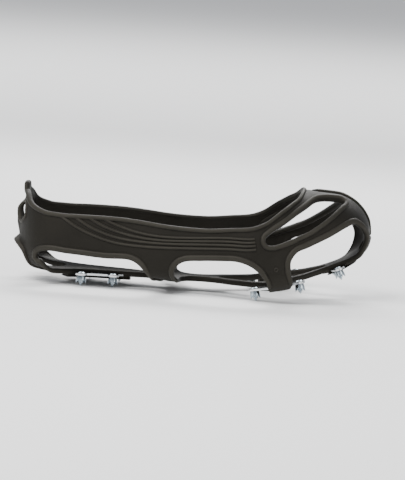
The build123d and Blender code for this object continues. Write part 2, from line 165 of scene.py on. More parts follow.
def from_below(x, y):
    """The point of the sole or its corners at station x and y."""
    u = u_at(x)
    t, d, height, run = half_section(u)
    off = y - float(np.interp(u, U_DENSE, MIDDLE_DENSE))
    return u, math.copysign(float(np.interp(abs(off), d[:WALL_START], t[:WALL_START])) * run, off)


def from_above(x, d_wanted, side):
    """The point of the walls or the top at station x, d_wanted from the section's middle."""
    u = u_at(x)
    t, d, height, run = half_section(u)
    return u, side * float(np.interp(-d_wanted, -d[WALL_START:], t[WALL_START:])) * run


def from_behind(d_wanted, z, side):
    """The point of the heel's end at height z, d_wanted from the section's middle."""
    best = None
    search_u, tries = 60, 600
    for u in np.linspace(0, search_u, tries):
        t, d, height, run = SECTIONS[int(round(u / U_END * (len(SECTION_U) - 1)))]
        at = float(np.interp(z, height[RISING], t[RISING]))
        miss = abs(float(np.interp(at, t, d)) - d_wanted)
        if best is None or miss < best[0]:
            best = (miss, u, side * at * run)
    return best[1], best[2]


def curve(points, closed=True, spacing=1.5):
    """A smooth curve through points, as an array with even spacing."""
    span_points = 24
    p = np.array(points, float)
    if closed:
        p = np.vstack([p[-1], p, p[0], p[1]])
    else:
        p = np.vstack([2 * p[0] - p[1], p, 2 * p[-1] - p[-2]])
    out = []
    for a, b, c, d in zip(p[:-3], p[1:-2], p[2:-1], p[3:]):
        ka, kb, kc = (max(np.linalg.norm(q - r), 1e-6) ** 0.5 for q, r in ((b, a), (c, b), (d, c)))
        m1 = (c - b) + kb * ((b - a) / ka - (c - a) / (ka + kb))
        m2 = (c - b) + kb * ((d - c) / kc - (d - b) / (kb + kc))
        t = np.linspace(0, 1, span_points, endpoint=False)[:, None]
        out.append((2 * t**3 - 3 * t**2 + 1) * b + (t**3 - 2 * t**2 + t) * m1
                   + (3 * t**2 - 2 * t**3) * c + (t**3 - t**2) * m2)
    out = np.vstack(out + ([out[0][:1]] if closed else [p[-2][None]]))
    run = run_along(out)
    count = max(8, int(round(run[-1] / spacing)))
    at = np.linspace(0, run[-1], count + 1)
    even = np.stack([np.interp(at, run, out[:, k]) for k in range(out.shape[1])], -1)
    return even[:-1] if closed else even


S, B, A, R = from_side, from_below, from_above, from_behind  # short names for the long lists of points


def eye(side):
    """The window over the toes."""
    return [
        S(56.6, 52.6, side), S(60, 56, side), S(68, 61.9, side), S(78.6, 69.8, side), S(89, 77.2, side),
        A(97, 20.5, side), A(103, 16.6, side), A(112, 14.6, side), A(117.6, 14.6, side), A(118.6, 17.6, side),
        A(114.5, 24.5, side), S(107.4, 71.6, side), S(91.3, 60.4, side), S(80, 55, side), S(71.9, 51.4, side),
        S(61.5, 47.8, side), S(57.4, 48.9, side)]


def slot(side):
    """The slot beside the pull tab."""
    return [
        R(9.5, 57, side), R(11, 62, side), R(15.5, 64, side), R(20.5, 62.5, side), R(23, 57.5, side),
        R(20.5, 52.5, side), R(15.5, 50.5, side), R(11, 52.2, side)]


OUTLINES = {
    "outer_heel": [
        B(-124.8, -28.7), B(-113, -21.6), B(-101.3, -14.5), B(-88.2, -9.8), B(-72, -9.0), B(-57, -8.5),
        B(-40.2, -7.4), B(-32, -8.6), B(-27.2, -14), B(-28, -20.5), B(-31.6, -28.5), B(-35.9, -38.5),
        S(-38.6, 17.5, -1), S(-42.8, 22, -1), S(-47.6, 25.2, -1), S(-54, 27, -1), S(-72, 26.6, -1),
        S(-95, 27.6, -1), S(-115.5, 28.8, -1), S(-122.6, 28.2, -1), S(-127.2, 26, -1),
        S(-127.8, 22.6, -1)],
    "inner_heel": [
        B(-122, 46.3), B(-111, 38.3), B(-99.6, 29.9), B(-87, 23.7), B(-72, 19.2), B(-56.3, 14.5),
        B(-46, 10.6), B(-35.5, 6.2), B(-29.7, 7.4), B(-26, 12.6), B(-29.7, 22.5), B(-36.8, 37),
        S(-41.6, 14.5, 1), S(-45.6, 20.2, 1), S(-50.5, 25, 1), S(-57, 27, 1), S(-75, 26.6, 1),
        S(-95, 27.6, 1), S(-115.5, 28.8, 1), S(-122.6, 28.2, 1), S(-127.2, 26, 1), S(-127.6, 23, 1)],
    "outer_mid": [
        S(-14.2, 16, -1), B(-12.5, -41.9), B(-11.2, -29.2), B(-10, -19.1), B(-7.2, -13), B(-2.7, -9.2),
        B(3.5, -8.2), B(11.7, -8.9), B(20.1, -11.8), B(28.4, -16.2), B(41, -22.4), B(52.3, -28.1),
        B(58, -32.2), B(60.3, -36.8), B(60.3, -44), S(58.6, 19.4, -1), S(55.4, 22.4, -1),
        S(50.4, 26.6, -1), S(44, 30.2, -1), S(36.2, 32.3, -1), S(22, 32.2, -1), S(5.9, 31, -1),
        S(-7, 29.4, -1), S(-12.8, 26, -1), S(-15.4, 21, -1)],
    "inner_mid": [
        S(-14.6, 16, 1), B(-13.7, 38.9), B(-12.5, 28.7), B(-10.2, 20.1), B(-6.4, 13.4), B(-2, 10.2),
        B(4, 9.1), B(12, 11.4), B(23.8, 18.2), B(37, 25), B(50.3, 32.1), B(55.5, 36), B(57.3, 42),
        B(56.8, 49), S(55.4, 18.6, 1), S(52.4, 22, 1), S(47.8, 26.6, 1), S(42.4, 30.2, 1),
        S(35, 32.3, 1), S(22, 32.2, 1), S(5.9, 31, 1), S(-7, 29.4, 1), S(-12.8, 26, 1), S(-15.4, 21, 1)],
    "diamond": [
        B(21.8, 0), B(22.8, -3.6), B(26, -6.3), B(41, -13.7), B(56.3, -21.1), B(61.6, -23.2),
        B(67, -23.6), B(73, -20.9), B(79.5, -16.6), B(94, -7.4), B(106.6, 0.6), B(108.9, 3.4),
        B(107, 6.6), B(98, 10.4), B(86, 17.1), B(77.5, 21.9), B(70.8, 25.2), B(62.3, 25.9),
        B(53.7, 23.4), B(42.4, 15.8), B(32, 9.2), B(23.4, 3.6)],
    "outer_toe": [
        S(78.8, 22, -1), B(77.9, -41.1), B(77.8, -31), B(82.6, -24.4), B(98, -15.2), B(106.2, -10.2),
        B(112.5, -6.4), B(118.5, -5.0), B(124.9, -5.8), B(130.5, -9.4), B(135.2, -12.6),
        S(137.8, 52.5, -1), S(137, 57.6, -1), S(133.2, 62.6, -1), S(127, 65.6, -1), S(120.8, 62.8, -1),
        S(107.6, 55.2, -1), S(92, 47.4, -1), S(81.8, 42.4, -1), S(77.8, 36.6, -1), S(77.8, 29, -1)],
    "inner_toe": [
        S(76.2, 22, 1), B(74.9, 44.2), B(75, 35.8), B(78.5, 30.4), B(91, 24.1), B(104.5, 17.9),
        B(111.4, 18.1), B(119.1, 20), B(124.5, 27), S(130.4, 44.5, 1), S(131.8, 51.5, 1),
        S(130.8, 57.4, 1), S(126.8, 62.4, 1), S(121, 63.4, 1), S(107.6, 55.2, 1), S(92.1, 47.4, 1),
        S(81, 42.4, 1), S(76.6, 36.8, 1), S(75.8, 29, 1)],
    "outer_eye": eye(-1),
    "inner_eye": eye(1),
    "outer_slot": slot(-1),
    "inner_slot": slot(1),
    "toe_end": [
        B(136.4, 1.0), B(135.9, 7.8), B(137.5, 15.7), B(138.6, 16.2), B(139.7, 14.2), B(140.25, 7.8),
        B(139.7, 1.4), B(138.6, -0.7), B(137.5, -0.8)],
}


def half_line(points, both):
    """An open curve that starts, and with both also ends, square on the heel's middle line, where u is 0."""
    whole = [(-points[1][0], points[1][1])] + points
    if both:
        whole = whole + [(-points[-2][0], points[-2][1])]
    even = curve(whole, closed=False)
    pieces = [[(0.0, points[0][1])], even[even[:, 0] > 0.3]]
    if both:
        pieces.append([(0.0, points[-1][1])])
    return np.vstack(pieces)


# the opening that runs from the heel's end under the heel
HEEL_END = half_line([
    R(0, 31.4, -1), R(8, 31.3, -1), R(16, 30.4, -1), R(21.5, 27.8, -1), B(-138.3, -14), B(-131, -11.6),
    B(-121, -7.4), B(-112.8, -3.4), B(-109, 1.6), B(-107.9, 9), B(-109.2, 16), B(-112.4, 19.8), B(-121, 24.8),
    B(-130, 30), B(-137.6, 33), R(21.5, 27.8, 1), R(16, 30.4, 1), R(8, 31.3, 1), R(0, 31.4, 1)], both=True)


def rim(side):
    """The harness's upper edge on one side, from the heel's middle over the tab to the instep's middle."""
    return half_line([
        R(0, 81.6, side), R(4, 81.6, side), R(8, 81, side), R(9.8, 78.6, side), R(11.6, 76.2, side),
        R(16, 74.6, side), S(-140.6, 73.3, side), S(-137.2, 69.6, side), S(-130.8, 64.6, side),
        S(-123.2, 61.8, side), S(-111.9, 60.8, side), S(-89.9, 61, side), S(-64.9, 61.1, side),
        S(-52, 60.5, side), S(-40, 59.6, side), S(-24, 58.2, side), S(-10, 57.6, side),
        S(11.7, 57.8, side), S(33.8, 60, side), S(47, 62, side), S(56, 66, side), S(66.3, 73.6, side),
        S(73.9, 79.2, side), A(79.5, 25, side), A(82.6, 15, side), A(84, 6, side), A(84.3, 0, side)],
        both=False)


def ease(value, low, high):
    """0 up to low, 1 from high on, and smooth between them."""
    t = np.clip((value - low) / (high - low), 0, 1)
    return t * t * (3 - 2 * t)


def lift(uf):
    """Curve points in (u, f) to points on the surface and the normals there."""
    u = np.clip(uf[:, 0], 0, U_END)
    v = np.clip(uf[:, 1] / np.maximum(girth(u), 1e-3), -1, 1)
    return surface(u, v), normal(u, v)


def inside(points, polygon):
    """Which points (n, 2) lie in a closed polygon."""
    x, y = points[:, 0][:, None], points[:, 1][:, None]
    result = np.zeros(len(points), bool)
    a, b = polygon, np.roll(polygon, -1, axis=0)
    chunk = 60
    for k in range(0, len(polygon), chunk):
        (ax, ay), (bx, by) = a[k:k + chunk].T, b[k:k + chunk].T
        hit = (ay > y) != (by > y)
        cross = (bx - ax) * (y - ay) / np.where(by == ay, 1e-9, by - ay) + ax
        result ^= (np.sum(hit & (x < cross), axis=1) % 2).astype(bool)
    return result


loops = {name: curve(points) for name, points in OUTLINES.items()}
rims = {side: rim(side) for side in (-1, 1)}

# what lies in the openings; the heel's end and the space over the rims are closed off outside the surface
BEYOND_U, BEYOND_F = -9, 400
heel_region = np.vstack([HEEL_END, [(BEYOND_U, HEEL_END[-1, 1]), (BEYOND_U, HEEL_END[0, 1])]])
rim_regions = {
    side: np.vstack([[(BEYOND_U, r[0, 1])], r, [(r[-1, 0], side * BEYOND_F), (BEYOND_U, side * BEYOND_F)]])
    for side, r in rims.items()}
regions = [*loops.values(), heel_region, *rim_regions.values()]

edge_lines = [lift(np.vstack([c, c[:1]]))[0] for c in loops.values()]
edge_lines += [lift(line)[0] for line in (HEEL_END, rims[-1], rims[1])]
dense = []  # points so close together along the edges that the nearest one gives the distance
for line in edge_lines:
    for a, b in zip(line[:-1], line[1:]):
        dense += [a, (a * 3 + b) / 4, (a + b) / 2, (a + 3 * b) / 4]
tree = kdtree.KDTree(len(dense))
for i, p in enumerate(dense):
    tree.insert(p, i)
tree.balance()


def edge_distance(u, v):
    """Distance from points of the surface to the nearest edge, negative in an opening."""
    p = surface(u, v).reshape(-1, 3)
    uf = np.stack([u.ravel(), (v * girth(u)).ravel()], -1)
    hole = np.zeros(len(p), bool)
    for polygon in regions:
        hole |= inside(uf, polygon)
    away = np.array([tree.find(q)[2] for q in p])
    return np.where(hole, -away, away).reshape(u.shape)


# ---- mesh pieces of the harness --------------------------------------------------------------------------

POINTS, FACES, WEAR_AND_HIGHLIGHT = [], [], []


def add(points, faces, wear_and_highlight):
    """Adds faces over points. The per-point wear value is 0 on the matt flats and 1 on the crests of the beads,
    which are partly rubbed and partly lit by a painted highlight.
    """
    base = sum(len(p) for p in POINTS)
    POINTS.append(np.asarray(points, float).reshape(-1, 3))
    WEAR_AND_HIGHLIGHT.append(np.broadcast_to(np.asarray(wear_and_highlight, float), len(POINTS[-1])))
    FACES.extend([tuple(base + i for i in face) for face in faces])


def outward(u, v):
    """The normal, made to agree where the two halves meet at the heel, the toe's tip and the top."""
    n = normal(u, v)
    u, v = np.broadcast_arrays(np.asarray(u, float), np.asarray(v, float))
    middle = (u < 1e-6) | (np.abs(v) > 1 - 1e-6)
    n[..., 1] = np.where(middle, 0, n[..., 1])
    n = unit(n)
    n[u > U_END - 1e-6] = (1, 0, 0)
    return n


def clipped(us, vs, field, level):
    """Grid cells where the field is above level, cut along its contour: points (u, v), faces, open edges."""
    keep = field >= level
    points, faces, index = [], [], {}

    def corner(a):
        if a not in index:
            index[a] = len(points)
            points.append((us[a[0]], vs[a[1]]))
        return index[a]

    def cut(a, b):
        key = (a, b) if a < b else (b, a)
        if key not in index:
            fa, fb = field[key[0]], field[key[1]]
            t = min(0.97, max(0.03, (level - fa) / (fb - fa)))
            index[key] = len(points)
            (ia, ja), (ib, jb) = key
            points.append((us[ia] * (1 - t) + us[ib] * t, vs[ja] * (1 - t) + vs[jb] * t))
        return index[key]

    some = keep[:-1, :-1] | keep[1:, :-1] | keep[1:, 1:] | keep[:-1, 1:]
    for i, j in zip(*np.nonzero(some)):
        i, j = int(i), int(j)
        ring = [(i, j), (i + 1, j), (i + 1, j + 1), (i, j + 1)]
        loop = []
        for a, b in zip(ring, ring[1:] + ring[:1]):
            if keep[a]:
                loop.append(corner(a))
            if keep[a] != keep[b]:
                loop.append(cut(a, b))
        if len(loop) >= 3:
            faces.append(loop)
    used = {}
    for face in faces:
        for a, b in zip(face, face[1:] + face[:1]):
            used[(a, b)] = used.get((a, b), 0) + 1
    points = np.array(points)
    # the cut edge is evened out
    beside = {}
    for a, b in used:
        if (b, a) not in used:
            beside.setdefault(a, []).append(b)
            beside.setdefault(b, []).append(a)
    loose = [k for k, near in beside.items() if len(near) == 2 and abs(points[k, 1]) < 1 - 1e-6
             and 1e-6 < points[k, 0] < U_END - 1e-6]
    for _ in range(4):
        moved = {k: 0.5 * points[k] + 0.25 * (points[beside[k][0]] + points[beside[k][1]]) for k in loose}
        for k, place in moved.items():
            points[k] = place
    seam = (points[:, 0] < 1e-6) | (points[:, 0] > U_END - 1e-6) | (np.abs(points[:, 1]) > 1 - 1e-6)
    edges = [(a, b) for a, b in used if (b, a) not in used and not (seam[a] and seam[b])]
    return points, faces, edges


WALL_SKIN = 2.9  # the sheet's thickness on the walls
SKIN_X = (-145, -112, -108, -50, -30, -20, 6, 18, 104, 145)
SKIN_H = (1.5, 1.5, 1.7, 1.7, 2.2, 3.7, 3.7, 1.6, 1.6, 1.6)  # its thickness under the sole, at these stations
ARM_DROP = 1.5  # how much thinner than that it is on the arms of the arch


def skin(p, n):
    """The rubber's outer height: sunk between the beads of the straps under the sole, fuller on the walls."""
    arm = ARM_DROP * ease(np.abs(p[:, 1]), 18, 30) * (1 - ease(p[:, 0], 6, 18)) * ease(p[:, 0], -50, -30)
    toe_tip = ease(p[:, 0], 124, 128) * (1 - ease(p[:, 2], 50, 56))
    sole = np.maximum(ease(-n[:, 2], 0.72, 0.92), toe_tip)
    return WALL_SKIN + (np.interp(p[:, 0], SKIN_X, SKIN_H) - arm - WALL_SKIN) * sole


def sheet(us, vs, distance, level):
    """A layer of rubber over the surface, with its edges closed."""
    uv, faces, edges = clipped(us, vs, distance, level)
    p, n = surface(uv[:, 0], uv[:, 1]), outward(uv[:, 0], uv[:, 1])
    count = len(p)
    inner_faces = [tuple(f) for f in faces]
    outer_faces = [tuple(count + i for i in f[::-1]) for f in faces]
    walls = [(b, a, count + a, count + b) for a, b in edges]
    add(np.vstack([p, p + n * skin(p, n)[:, None]]), inner_faces + outer_faces + walls, 0)


def tube(line, closed, radius, flat, offset, height, turn=1, rows=10, square=0.85):
    """A bead swept along a curve of (u, f) points, moved sideways by offset and up by height.

    Radius is its half width, flat its half height and rows its points round. It is boxier at a lower square.
    """
    p, n = lift(line)
    if closed:
        t = np.roll(p, -1, 0) - np.roll(p, 1, 0)
    else:
        t = np.gradient(p, axis=0)
        on_middle = [line[end, 0] < 1e-6 or abs(abs(line[end, 1]) - float(girth(line[end, 0]))) < 1e-3
                     for end in (0, -1)]
        for end in (0, -1):
            if on_middle[end]:
                t[end] = (0, t[end, 1], 0)
                n[end, 1] = 0
    t = unit(t)
    n = n - t * np.sum(n * t, 1, keepdims=True)
    n /= np.linalg.norm(n, axis=1, keepdims=True)
    across = np.cross(n, t) * turn
    radius, flat, offset, height = (
        np.broadcast_to(np.asarray(q, float), len(p))[:, None] for q in (radius, flat, offset, height))
    rings, crest_highlight = [], []
    for k in range(rows):
        a = 2 * math.pi * k / rows
        ca, sa = math.cos(a), math.sin(a)
        # painted highlight: the side of the bead away from the surface gets the lighter colour, as if lit from
        # above, and the sides fade to the matt one
        crest_highlight.append(float(ease(sa, -0.1, 0.95)))
        ca, sa = math.copysign(abs(ca) ** square, ca), math.copysign(abs(sa) ** square, sa)
        rings.append(p + across * (offset + radius * ca) + n * (height + flat * sa))
    rings = np.stack(rings, 1)
    count = len(p)
    faces = []
    for i in range(count if closed else count - 1):
        j = (i + 1) % count
        for k in range(rows):
            m = (k + 1) % rows
            quad = (i * rows + k, i * rows + m, j * rows + m, j * rows + k)
            faces.append(quad if turn > 0 else quad[::-1])
    if not closed and not on_middle[0]:
        faces.append(tuple(range(rows))[::-turn])
    if not closed and not on_middle[1]:
        faces.append(tuple((count - 1) * rows + k for k in range(rows))[::turn])
    add(rings, faces, np.tile(crest_highlight, count))


def area(polygon):
    x, y = polygon[:, 0], polygon[:, 1]
    return 0.5 * float(np.sum(x * np.roll(y, -1) - np.roll(x, -1) * y))


BEAD_H = 2.2  # half height of a bead, and the height of its middle over the boot's surface
BEAD_GAP = 0.25  # from the edge to the bead's side
SOLE_BEAD_R = 1.45  # half width of the beads under the sole
ARM_BEAD_DROP = 0.75  # how much lower the beads are on the arms of the arch
PAD_H = 7.0
LEG_TOP, LEG_DROP = 12.5, 4.3  # how far a ball pad runs up its leg, and how much thinner it is at the top
LEG_BEAD_RISE = LEG_DROP - 0.4  # how much the beads rise over the ball pads


def on_leg(p):
    """1 at the foot of a ball leg's wall, where the pad starts, and 0 from the leg's top up."""
    above = p[:, 2] - np.interp(p[:, 0], X_DENSE, LOW_DENSE)
    near = ease(p[:, 0], 40, 46) * (1 - ease(p[:, 0], 92, 98))
    return near * (1 - ease(above, 0.5, LEG_TOP - 1.5))


def edge_bead(line, closed, polygon, scale=1.0, wide=2.65, tall=BEAD_H, height=BEAD_H, square=0.75):
    """The bead along an edge: slimmer under the sole than on the walls, and raised over the ball pads."""
    p, n = lift(line)
    wall = np.clip((n[:, 2] + 0.9) / 0.7, 0, 1)
    radius = (SOLE_BEAD_R + (wide - SOLE_BEAD_R) * wall) * scale
    arm = (1 - wall) * ease(np.abs(p[:, 1]), 20, 32) * (1 - ease(p[:, 0], -6, 6))
    under = BEAD_H - ARM_BEAD_DROP * arm
    middle = under + (height - BEAD_H) * wall
    middle = middle + LEG_BEAD_RISE * on_leg(p) * np.clip((n[:, 2] + 0.98) / 0.3, 0, 1)
    turn = 1 if area(polygon) > 0 else -1
    # a little taller and lower, so that the bottom sinks below the sheet's and the top stays
    flat, middle = under + (tall - BEAD_H) * wall + 0.12, middle - 0.1
    tube(line, closed, radius, flat, BEAD_GAP + radius, middle, turn, 12, square)


SHEET_EDGE = 1.9  # the sheet ends this far from an edge, under its bead
sheet_u = np.linspace(0, U_END, 214)
half_v = np.linspace(0, 1, 108)
sheet_v = np.concatenate([-half_v[:0:-1], half_v])
sheet(sheet_u, sheet_v, edge_distance(*np.meshgrid(sheet_u, sheet_v, indexing="ij")), SHEET_EDGE)
for name, line in loops.items():
    if "eye" in name:
        edge_bead(line, True, line, wide=2.2, tall=3.1, height=1.4, square=0.62)
    elif "slot" in name:
        edge_bead(line, True, line, 0.7, tall=1.9, height=1.7)
    else:
        edge_bead(line, True, line)
edge_bead(HEEL_END, False, heel_region, wide=2.2, tall=2.8)
for side, line in rims.items():
    edge_bead(line, False, rim_regions[side], wide=2.0, tall=2.35, square=0.9)

# ---- pads: thick ends of the straps under heel, ball and toe ---------------------------------------------
# the outline in plan, the lowest and highest x and y of the grid round it, and the side whose leg it runs up
PADS = {
    "heel": ([(-112.0, -2.0), (-103.5, -18.0), (-51.0, -14.0), (-51.0, 20.0), (-99.0, 34.0), (-111.0, 19.5)],
             (-116, -48, -22, 38), 0),
    "ball_outer": ([(52.0, -75.0), (52.6, -30.5), (57.2, -18.5), (68.0, -16.0), (76.2, -17.0), (84.5, -27.5),
                    (86.0, -75.0)], (48, 90, -57, -12), -1),
    "ball_inner": ([(50.0, 75.0), (50.0, 35.0), (54.6, 20.5), (66.0, 19.0), (76.5, 21.0), (81.5, 31.5),
                    (82.0, 75.0)], (46, 86, 15, 58), 1),
    "toe": ([(106.5, -12.0), (108.0, 4.0), (104.0, 8.0), (102.5, 21.0), (112.0, 22.0), (124.0, 34.0),
             (127.6, 30.0), (131.3, 22.0), (132.9, 14.0), (132.9, 2.0), (131.6, -6.0), (128.0, -12.5),
             (120.0, -12.0)], (100, 139, -18, 36), 0),
}
PAD_CELL = 0.8
PAD_EDGE = 1.2  # the top of a pad ends this far inside its outline
PAD_WEAR = 0.45
LEG_V = 0.42  # how far round the section the grid of a ball pad reaches
TOE_PAD_DROP = 1.8  # how much thinner the toe pad gets towards the tip


def polygon_distance(x, y, polygon):
    """Signed distance in plan to a polygon's edge, positive inside."""
    polygon = np.array(polygon)
    pts = np.stack([x.ravel(), y.ravel()], -1)
    best = np.full(len(pts), 1e9)
    for a, b in zip(polygon, np.roll(polygon, -1, axis=0)):
        t = np.clip(((pts - a) @ (b - a)) / ((b - a) @ (b - a)), 0, 1)
        best = np.minimum(best, np.linalg.norm(pts - a - t[:, None] * (b - a), axis=1))
    return np.where(inside(pts, polygon), best, -best).reshape(x.shape)


def pad(outline, span, leg_side):
    """A pad with rounded edges over its outline."""
    x0, x1, y0, y1 = span
    pu = np.arange(u_at(x0), u_at(x1), PAD_CELL)
    corners = [from_below(x, y) for x in (x0, x1) for y in (y0, y1)]
    low = -LEG_V if leg_side == -1 else min(f / float(girth(u)) for u, f in corners)
    high = LEG_V if leg_side == 1 else max(f / float(girth(u)) for u, f in corners)
    pv = np.arange(low, high, PAD_CELL / float(girth(pu[len(pu) // 2])))
    gu, gv = np.meshgrid(pu, pv, indexing="ij")
    p = surface(gu, gv)
    plan = polygon_distance(p[..., 0], p[..., 1], outline)
    field = np.minimum(plan, edge_distance(gu, gv))
    if leg_side:
        field = np.minimum(field, LEG_TOP - (p[..., 2] - np.interp(gu, U_DENSE, LOW_DENSE)))
    uv, faces, edges = clipped(pu, pv, field, PAD_EDGE)
    q, n = surface(uv[:, 0], uv[:, 1]), outward(uv[:, 0], uv[:, 1])
    top = PAD_H - TOE_PAD_DROP * ease(q[:, 0], 118, 133)
    wear_and_highlight = np.full(len(q), PAD_WEAR)
    if leg_side:
        top -= LEG_DROP * (1 - on_leg(q))
        wear_and_highlight *= on_leg(q)
    # the way out from the pad at each point of its edge, evened out along the edge
    out = np.zeros_like(q)
    for a, b in edges:
        away = np.cross(q[b] - q[a], n[a])
        out[a] += away
        out[b] += away
    for _ in range(3):
        spread = out.copy()
        for a, b in edges:
            spread[a] += out[b]
            spread[b] += out[a]
        out = unit(spread)
    count = len(q)
    layers = [q + n * top[:, None]]
    # a rounded rim, then the side: (out past the edge, share of the height)
    steps = ((0.45, 0.975), (0.85, 0.92), (1.1, 0.83), (1.15, 0.25))
    for past, share in steps:
        layers.append(q + out * past + n * (top * share)[:, None])
    polys = [tuple(f[::-1]) for f in faces]
    for k in range(len(steps)):
        for a, b in edges:
            polys.append((k * count + b, k * count + a, (k + 1) * count + a, (k + 1) * count + b)[::-1])
    add(np.vstack(layers), polys, np.tile(wear_and_highlight, len(layers)))


for outline, span, leg_side in PADS.values():
    pad(outline, span, leg_side)

# ---- ribs ------------------------------------------------------------------------------------------------
RIB_R, RIB_FLAT = 1.15, 1.3  # half width and half height
RIB_H = 2.85  # the height of a rib's middle over the boot's surface
RIBS = (  # seen from the side: (station x, z)
    [(-112.3, 59.2), (-106.2, 55.2), (-99.2, 51.2), (-91.5, 47.7), (-83.8, 44.9), (-75.3, 42.4),
     (-65.9, 40.4), (-55.0, 39.4), (-42.5, 39.1), (-30.0, 39.3), (-17.5, 39.8), (-0.8, 40.9),
     (24.1, 42.4), (49.1, 43.7)],
    [(-99.9, 58.6), (-93.6, 54.7), (-86.7, 51.2), (-79.0, 48.2), (-70.5, 45.8), (-62.0, 44.2),
     (-51.1, 43.0), (-38.5, 42.6), (-26.0, 42.7), (-13.5, 43.2), (3.1, 44.3), (23.9, 45.5),
     (48.5, 46.6)],
    [(-87.3, 58.4), (-81.1, 55.0), (-74.3, 52.2), (-65.7, 49.6), (-55.6, 47.4), (-45.5, 46.0),
     (-34.5, 45.3), (-22.0, 45.3), (-9.5, 46.0), (7.1, 47.2), (23.7, 48.3), (47.9, 49.2)],
    [(-74.8, 58.2), (-67.8, 55.3), (-61.0, 53.2), (-51.6, 50.8), (-41.5, 49.1), (-30.6, 48.2),
     (-20.5, 48.1), (-9.7, 48.6), (6.9, 49.8), (23.5, 51.0), (47.3, 51.8)],
)
for side in (-1, 1):
    for rib in RIBS:
        line = curve([S(x, z, side) for x, z in rib], closed=False)
        tube(line, False, RIB_R, RIB_FLAT, 0.0, RIB_H, rows=8)

# the raised band along the middle of the toe, from behind the two eyes down to the toe's end
band_u = np.linspace(u_at(96), U_END, 34)
band_line = np.stack([band_u, girth(band_u)], -1)
band_start = 1 - ease(band_u, band_u[0], band_u[0] + 3)
band_tip = ease(band_u, U_END - 22, U_END - 4)
band_flat = 1.9 - 0.9 * band_start - 0.8 * band_tip
BAND_R = 3.1
for side in (-1, 1):
    tube(band_line * (1, side), False, BAND_R, band_flat, 0.0, WALL_SKIN, rows=12, square=0.7)

# a moulded dimple on each ball leg
DIMPLE_R, DIMPLE_BEAD_R, DIMPLE_BEAD_FLAT = 1.3, 0.5, 0.45
for side in (-1, 1):
    u, f = S(66.4, 29.1, side)
    turns = np.linspace(0, 2 * math.pi, 13)[:-1]
    ring = [(u + DIMPLE_R * math.cos(a), f + DIMPLE_R * math.sin(a)) for a in turns]
    tube(curve(ring, spacing=0.6), True, DIMPLE_BEAD_R, DIMPLE_BEAD_FLAT, 0.0, WALL_SKIN, rows=8)


def heel_shape(p):
    """The rim and its tab stand forward of the strap up the heel, which bulges, and a lip is below it."""
    off, z = np.abs(p[:, 1] - STATIONS[0, 1]), p[:, 2]
    back = 1 - ease(p[:, 0], -140, -128)
    forward = 3.4 * (1 - ease(off, 15, 34)) * ease(z, 58, 70)
    bulge = 2.4 * (1 - ease(off, 5, 14)) * ease(z, 36, 50) * (1 - ease(z, 60, 67))
    lip = 2.5 * (1 - ease(off, 16, 32)) * ease(z, 22, 29) * (1 - ease(z, 32, 35.5))
    p[:, 0] += (forward - bulge - lip) * back
    return p


MM = 0.001
WELD, SHARP_ANGLE = 0.00004, 62  # metres, degrees
mesh = bpy.data.meshes.new("harness")
mesh.from_pydata((heel_shape(np.vstack(POINTS)) + (SHIFT_X, 0, 0)) * MM, [], FACES)
# per-point value: rubbing on the pads; on the beads' crests, rubbing and a painted highlight
attribute = mesh.attributes.new("wear_and_highlight", "FLOAT", "POINT")
attribute.data.foreach_set("value", np.concatenate(WEAR_AND_HIGHLIGHT).astype(np.float32))
mesh.validate()
welder = bmesh.new()
welder.from_mesh(mesh)
bmesh.ops.remove_doubles(welder, verts=welder.verts, dist=WELD)
welder.to_mesh(mesh)
welder.free()
mesh.update()
harness = bpy.data.objects.new("harness", mesh)
bpy.context.scene.collection.objects.link(harness)
for polygon in mesh.polygons:
    polygon.use_smooth = True
mesh.set_sharp_from_angle(angle=math.radians(SHARP_ANGLE))

RUBBER_NODES = [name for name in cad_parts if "stud_" not in name and "_plate" not in name]
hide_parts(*RUBBER_NODES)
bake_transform(harness)


# ---- materials -------------------------------------------------------------------------------------------

def material(name, base, metallic, roughness):
    """A new material, its nodes and links, and its shader."""
    mat = bpy.data.materials.new(name)
    mat.use_nodes = True
    nodes, links = mat.node_tree.nodes, mat.node_tree.links
    shader = nodes["Principled BSDF"]
    shader.inputs["Base Color"].default_value = (*base, 1)
    shader.inputs["Metallic"].default_value = metallic
    shader.inputs["Roughness"].default_value = roughness
    return mat, nodes, links, shader


def noise(nodes, links, scale, detail):
    """The value of a noise in the object's own space, as a socket."""
    where = nodes.new("ShaderNodeTexCoord")
    texture = nodes.new("ShaderNodeTexNoise")
    texture.inputs["Scale"].default_value = scale
    texture.inputs["Detail"].default_value = detail
    links.new(where.outputs["Object"], texture.inputs["Vector"])
    return texture.outputs["Fac"]


def ramp(nodes, links, source, low, high):
    """A socket of a colour that changes as source rises, from low to high, each (source, colour)."""
    node = nodes.new("ShaderNodeValToRGB")
    for element, (at, color) in zip(node.color_ramp.elements, (low, high)):
        element.position = at
        element.color = (*color, 1)
    links.new(source, node.inputs["Fac"])
    return node.outputs["Color"]


def bump(nodes, links, sources, shader):
    """Bumps chained one on another: (height socket, distance in metres, strength)."""
    last = None
    for socket, distance, strength in sources:
        node = nodes.new("ShaderNodeBump")
        node.inputs["Distance"].default_value = distance
        node.inputs["Strength"].default_value = strength
        links.new(socket, node.inputs["Height"])
        if last:
            links.new(last.outputs["Normal"], node.inputs["Normal"])
        last = node
    links.new(last.outputs["Normal"], shader.inputs["Normal"])


def mixed(nodes, links, blend, share, first, second):
    """Two colours mixed, as a socket. Share is a socket, or None for the whole of the blend."""
    node = nodes.new("ShaderNodeMix")
    node.data_type, node.blend_type = "RGBA", blend
    colors = [socket for socket in node.inputs if socket.type == "RGBA"]
    links.new(first, colors[0])
    links.new(second, colors[1])
    if share is None:
        node.inputs[0].default_value = 1
    else:
        links.new(share, node.inputs[0])
    return next(socket for socket in node.outputs if socket.type == "RGBA")


def grey(value):
    return (value,) * 3


